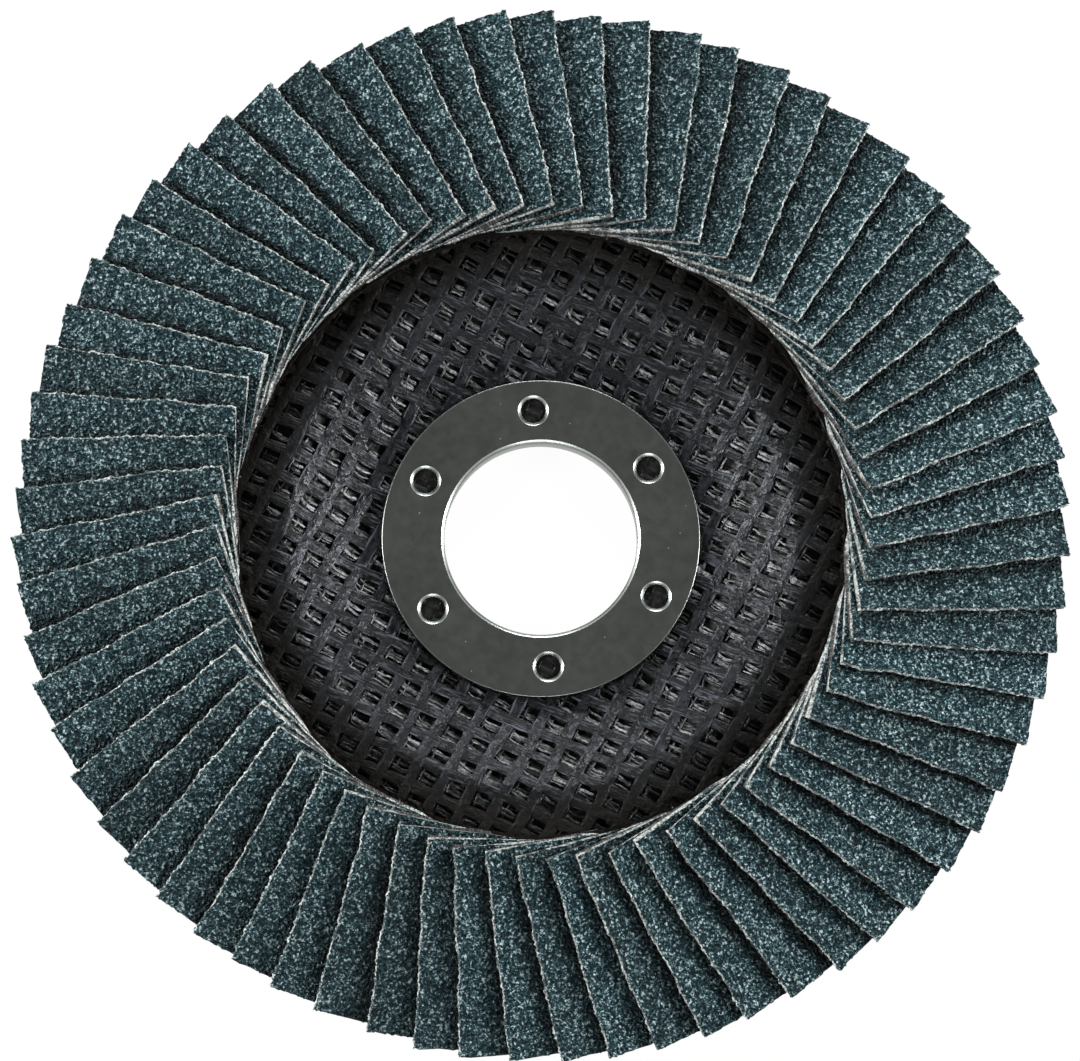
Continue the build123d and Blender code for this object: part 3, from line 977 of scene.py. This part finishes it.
class DISC_OT_plate(bpy.types.Operator):
    """Make the backing plate: its resin body, the yarns and loose strands in its dish, and the bead of glue"""

    bl_idname = "disc.plate"
    bl_label = "Backing plate"

    def execute(self, context):
        plate = context.scene.disc_plate
        generator = np.random.default_rng(plate.seed)
        outline = plate_outline(plate)
        points, dish = plate_body(plate, outline)
        body = add_piece("plate_body", points.reshape(-1, 3), [ring_quads(*dish.shape)], {"dish": dish},
                         resin_material(plate), radians(40))
        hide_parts("backing_plate")

        surface = surface_height(outline, True)
        limits = (ring_box[1].x - 0.2 * MM, 36.5 * MM)
        warp = yarn_set(plate, surface, plate.warp_pitch, plate.weft_pitch, plate.warp_angle, 0, generator, limits)
        weft = yarn_set(plate, surface, plate.weft_pitch, plate.warp_pitch, plate.weft_angle, 1, generator, limits,
                        lowered=0.04 * MM)
        add_yarns("dish_yarns", warp, weft, yarn_material(plate))

        middles = window_middles(plate, limits)
        along_weft, pale_weft = window_strands(plate, surface, generator, middles, 4, plate.weft_angle, 1.25 * MM,
                                               rests=(-0.9, 0.3), falls=(0.0, 1.0))
        along_warp, pale_warp = window_strands(plate, surface, generator, middles, 1, plate.warp_angle, 1.1 * MM,
                                               rests=(0.35, 1.0), falls=(-0.3, 0.5))
        points, quads, caps = tubes([*along_weft, *along_warp])
        pale = np.concatenate([pale_weft, 0.4 * pale_warp])
        loose = add_piece("loose_strands", points, [quads, np.concatenate(caps)],
                          {"pale": np.repeat(pale, along_weft[0, ..., 0].size)}, strand_material(plate))

        bead = glue_fillet(plate, surface, generator)
        fillet = add_piece("glue_fillet", bead.reshape(-1, 3), [ring_quads(*bead.shape[:2])],
                           material=glue_material(plate), sharp=radians(70))
        weld(fillet)
        return {"FINISHED"}


# Centre ring


def lip_profile(edge, width, face):
    """Radius and height of a pressed lip: it falls from the face at 8, 20, 31 and then 39 degrees, and turns
    down into the hole."""
    share = np.array([1.0, 0.93, 0.84, 0.74, 0.12, 0.04, 0.0])
    slope = np.radians([8, 20, 31, 39, 54, 70])
    drop = np.concatenate([[0], np.cumsum(-np.diff(share) * width * np.tan(slope))])
    return np.stack([edge + share * width, face - drop], axis=-1)


def sector_loop(inner, outer, half, arc_steps, side_steps):
    """Points round a sector between two radii, out along one side, round, back in and round again."""
    turns = np.linspace(-half, half, arc_steps + 1)
    reach = np.linspace(inner, outer, side_steps + 1)
    radius = np.concatenate([reach[:-1], np.full(arc_steps, outer), reach[:0:-1], np.full(arc_steps, inner)])
    bearing = np.concatenate([np.full(side_steps, -half), turns[:-1], np.full(side_steps, half), turns[:0:-1]])
    return np.stack([radius * np.cos(bearing), radius * np.sin(bearing)], axis=-1)


def ring_sectors(ring, inner, outer, back_inner, back_outer, hub, face):
    """Points of the six sectors of the ring, each one grid. It runs in from the sector's outline on the face
    to the hole's lip, down the hole, and out again on the back. Between outline and hole, a point is the
    outline's point times one minus a share, plus the hole's point times the share. The bearings of the points
    round the sectors' edges are given too."""
    half = pi / ring.hole_count
    arc_steps, side_steps, steps = 30, 14, 9
    middle = np.array([ring.hole_circle, 0])
    top_loop = sector_loop(inner, outer, half, arc_steps, side_steps)
    back_loop = sector_loop(back_inner, back_outer, half, arc_steps, side_steps)
    spoke = top_loop - middle
    spoke /= np.linalg.norm(spoke, axis=1)[:, None]
    lip, hole = ring.hole_lip, ring.hole_radius
    wall = hole + ring.hole_wall
    drawn = np.concatenate([
        lip_profile(hole, lip, face),
        [(hole, hub - ring.hole_depth), (wall, hub - ring.hole_depth), (wall, hub)],
    ])
    share = np.linspace(0, 1, steps)[:, None, None]
    top = top_loop * (1 - share) + (middle + spoke * (hole + lip)) * share
    back = back_loop * share + (middle + spoke * wall) * (1 - share)
    tube = middle + spoke[None] * drawn[:, 0, None, None]
    flat = np.concatenate([top[:-1], tube, back[1:]])
    height = np.concatenate([np.full(steps - 1, face), drawn[:, 1], np.full(steps - 1, hub)])
    grid = np.concatenate([flat, np.broadcast_to(height[:, None, None], (*flat.shape[:2], 1))], axis=-1)
    turns = ring.hole_angle + np.arange(ring.hole_count) * 2 * half
    around = ring.hole_count * arc_steps
    return [turn(grid, by) for by in turns], turns[0] - half + np.arange(around) * tau / around


def revolved(profile, bearings):
    """A profile of radius and height carried round the axis, one row for each of its points."""
    radius, height = profile[:, 0, None], profile[:, 1, None]
    return np.stack([radius * np.cos(bearings), radius * np.sin(bearings), height + 0 * bearings], axis=-1)


def weld(piece):
    """Joins points in the same place and turns all faces outwards."""
    work = bmesh.new()
    work.from_mesh(piece.data)
    bmesh.ops.remove_doubles(work, verts=work.verts, dist=0.002 * MM)
    bmesh.ops.recalc_face_normals(work, faces=work.faces)
    work.to_mesh(piece.data)
    work.free()


class DISC_OT_ring(bpy.types.Operator):
    """Make the pressed steel ring with its collar and drawn holes, and dress the glue under the flaps"""

    bl_idname = "disc.ring"
    bl_label = "Centre ring"

    def execute(self, context):
        ring = context.scene.disc_ring
        bore, rim, face = ring_bore(), ring_box[1].x, ring_box[1].z
        hub = face - ring.sheet
        collar = bore + ring.collar_wall
        lip, edge = ring.lip_radius, ring.edge_radius
        sectors, bearings = ring_sectors(ring, bore + lip, rim - edge, collar, rim, hub, face)
        inside = np.concatenate([
            lip_profile(bore, lip, face),
            [(bore, face * 0.4), (bore, 0), (collar, 0), (collar, hub)],
        ])
        outside = np.array([
            (rim - edge, face), (rim - 0.45 * edge, face), (rim - 0.2 * edge, face - 0.14 * edge),
            (rim - 0.06 * edge, face - 0.36 * edge), (rim, face - edge), (rim, hub),
        ])
        points, quads, _ = tubes([*sectors, revolved(inside, bearings), revolved(outside, bearings)])
        piece = add_piece("pressed_ring", points, [quads], material=steel_material(ring), sharp=radians(40))
        weld(piece)
        piece.data.set_sharp_from_angle(angle=radians(40))
        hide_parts("centre_ring")
        bed = frame["nodes"]["adhesive_bed"]
        bed.data.materials.clear()
        bed.data.materials.append(glue_material(context.scene.disc_plate))
        return {"FINISHED"}


# Studio


def add_light(name, place, size, power, target=(0, 0, 0)):
    """A soft rectangular light that faces a point."""
    data = bpy.data.lights.new(name, "AREA")
    data.shape = "RECTANGLE"
    data.size, data.size_y = size
    data.energy = power
    lamp = bpy.data.objects.new(name, data)
    lamp.location = place
    lamp.rotation_euler = (Vector(target) - Vector(place)).to_track_quat("-Z", "Y").to_euler()
    bpy.context.scene.collection.objects.link(lamp)
    return lamp


def add_camera(studio):
    """A camera leaning off the disc's axis, whose picture keeps the Y axis upright."""
    data = bpy.data.cameras.new("camera")
    data.sensor_width = 36.0
    data.lens = studio.scale / MM * studio.distance * data.sensor_width / studio.picture_width
    back = Vector((-sin(studio.side) * sin(studio.lean), -cos(studio.side) * sin(studio.lean), cos(studio.lean)))
    upright = (Vector((0, 1, 0)) - back * back.y).normalized()
    right = upright.cross(back)
    target = Vector((studio.aim_side, studio.aim, ring_box[1].z))
    camera = bpy.data.objects.new("camera", data)
    turned = Matrix((right, upright, back)).transposed().to_4x4()
    camera.matrix_world = Matrix.Translation(target + back * studio.distance) @ turned
    bpy.context.scene.collection.objects.link(camera)
    bpy.context.scene.camera = camera


def mirrored(graph, share):
    """1 for rays from the camera, and the given share for rays from a mirror or through glass."""
    path = graph.node("LightPath").outputs
    bounced = graph.math("ADD", path["Is Glossy Ray"], path["Is Transmission Ray"], clamp=True)
    return graph.math("ADD", path["Is Camera Ray"], graph.multiply(bounced, share), clamp=True)


def floor_material(studio):
    """A pale floor. The camera, and what mirrors it, see it near white, with the disc's shadow kept."""
    made = bpy.data.materials.new("pale_floor")
    made.use_nodes = True
    made.node_tree.nodes.clear()
    graph = Graph(made.node_tree)
    plain = graph.node("BsdfDiffuse", {"Color": opaque(studio.backdrop)}).outputs[0]
    glow = graph.node("Emission", {"Color": opaque(studio.backdrop), "Strength": 1.0}).outputs[0]
    seen = graph.multiply(mirrored(graph, 1.0), 0.96)
    graph.node("OutputMaterial", {"Surface": graph.node("MixShader", {0: seen, 1: plain, 2: glow}).outputs[0]})
    return made


class DISC_OT_studio(bpy.types.Operator):
    """Set the floor, the lights, the world and the camera"""

    bl_idname = "disc.studio"
    bl_label = "Studio"

    def execute(self, context):
        studio = context.scene.disc_studio
        half = 1600 * MM
        floor_mesh = bpy.data.meshes.new("floor")
        level = -0.05 * MM
        corners = [(-half, -half, level), (half, -half, level), (half, half, level), (-half, half, level)]
        floor_mesh.from_pydata(corners, [], [(0, 1, 2, 3)])
        floor_mesh.materials.append(floor_material(studio))
        floor = bpy.data.objects.new("floor", floor_mesh)
        context.scene.collection.objects.link(floor)

        world = bpy.data.worlds.new("studio")
        world.use_nodes = True
        graph = Graph(world.node_tree)
        background = next(n for n in world.node_tree.nodes if n.type == "BACKGROUND")
        height = graph.node("SeparateXYZ", {0: graph.node("TexCoord").outputs["Generated"]}).outputs[2]
        low = graph.remap(height, studio.horizon, 1.4 * studio.horizon, 1.0, 0.0)
        seen = graph.mix(mirrored(graph, low), opaque(studio.world), opaque(studio.backdrop))
        graph.fill(background, {"Color": seen})
        context.scene.world = world

        add_light("softbox_left", (-0.67, 0.06, 0.29), (0.24, 0.40), 9.5)
        add_light("softbox_right", (0.67, -0.02, 0.28), (0.24, 0.40), 9.5)
        add_light("softbox_top", (0.04, 0.66, 0.33), (0.42, 0.26), 5.4)
        add_light("softbox_bottom", (0.0, -0.66, 0.33), (0.42, 0.26), 2.0)
        add_camera(studio)
        context.scene.view_settings.view_transform = "Standard"
        return {"FINISHED"}


class DISC_PT_panel(bpy.types.Panel):
    """Lists the disc's pieces in the sidebar"""

    bl_idname = "DISC_PT_panel"
    bl_label = "Flap disc"
    bl_space_type = "VIEW_3D"
    bl_region_type = "UI"
    bl_category = "Flap disc"

    def draw(self, context):
        for operator in OPERATORS:
            self.layout.operator(operator.bl_idname)


OPERATORS = (DISC_OT_plate, DISC_OT_ring, DISC_OT_flaps, DISC_OT_studio)
SETTINGS = {
    "disc_flaps": FlapSettings,
    "disc_plate": PlateSettings,
    "disc_ring": RingSettings,
    "disc_studio": StudioSettings,
}


def register():
    for settings in SETTINGS.values():
        bpy.utils.register_class(settings)
    for name, settings in SETTINGS.items():
        setattr(bpy.types.Scene, name, PointerProperty(type=settings))
    for item in (*OPERATORS, DISC_PT_panel):
        bpy.utils.register_class(item)


def unregister():
    for item in (DISC_PT_panel, *reversed(OPERATORS)):
        bpy.utils.unregister_class(item)
    for name in SETTINGS:
        delattr(bpy.types.Scene, name)
    for settings in reversed(SETTINGS.values()):
        bpy.utils.unregister_class(settings)


def main():
    register()
    bpy.ops.disc.plate()
    bpy.ops.disc.ring()
    bpy.ops.disc.flaps()
    bpy.ops.disc.studio()


if __name__ == "__main__":
    main()
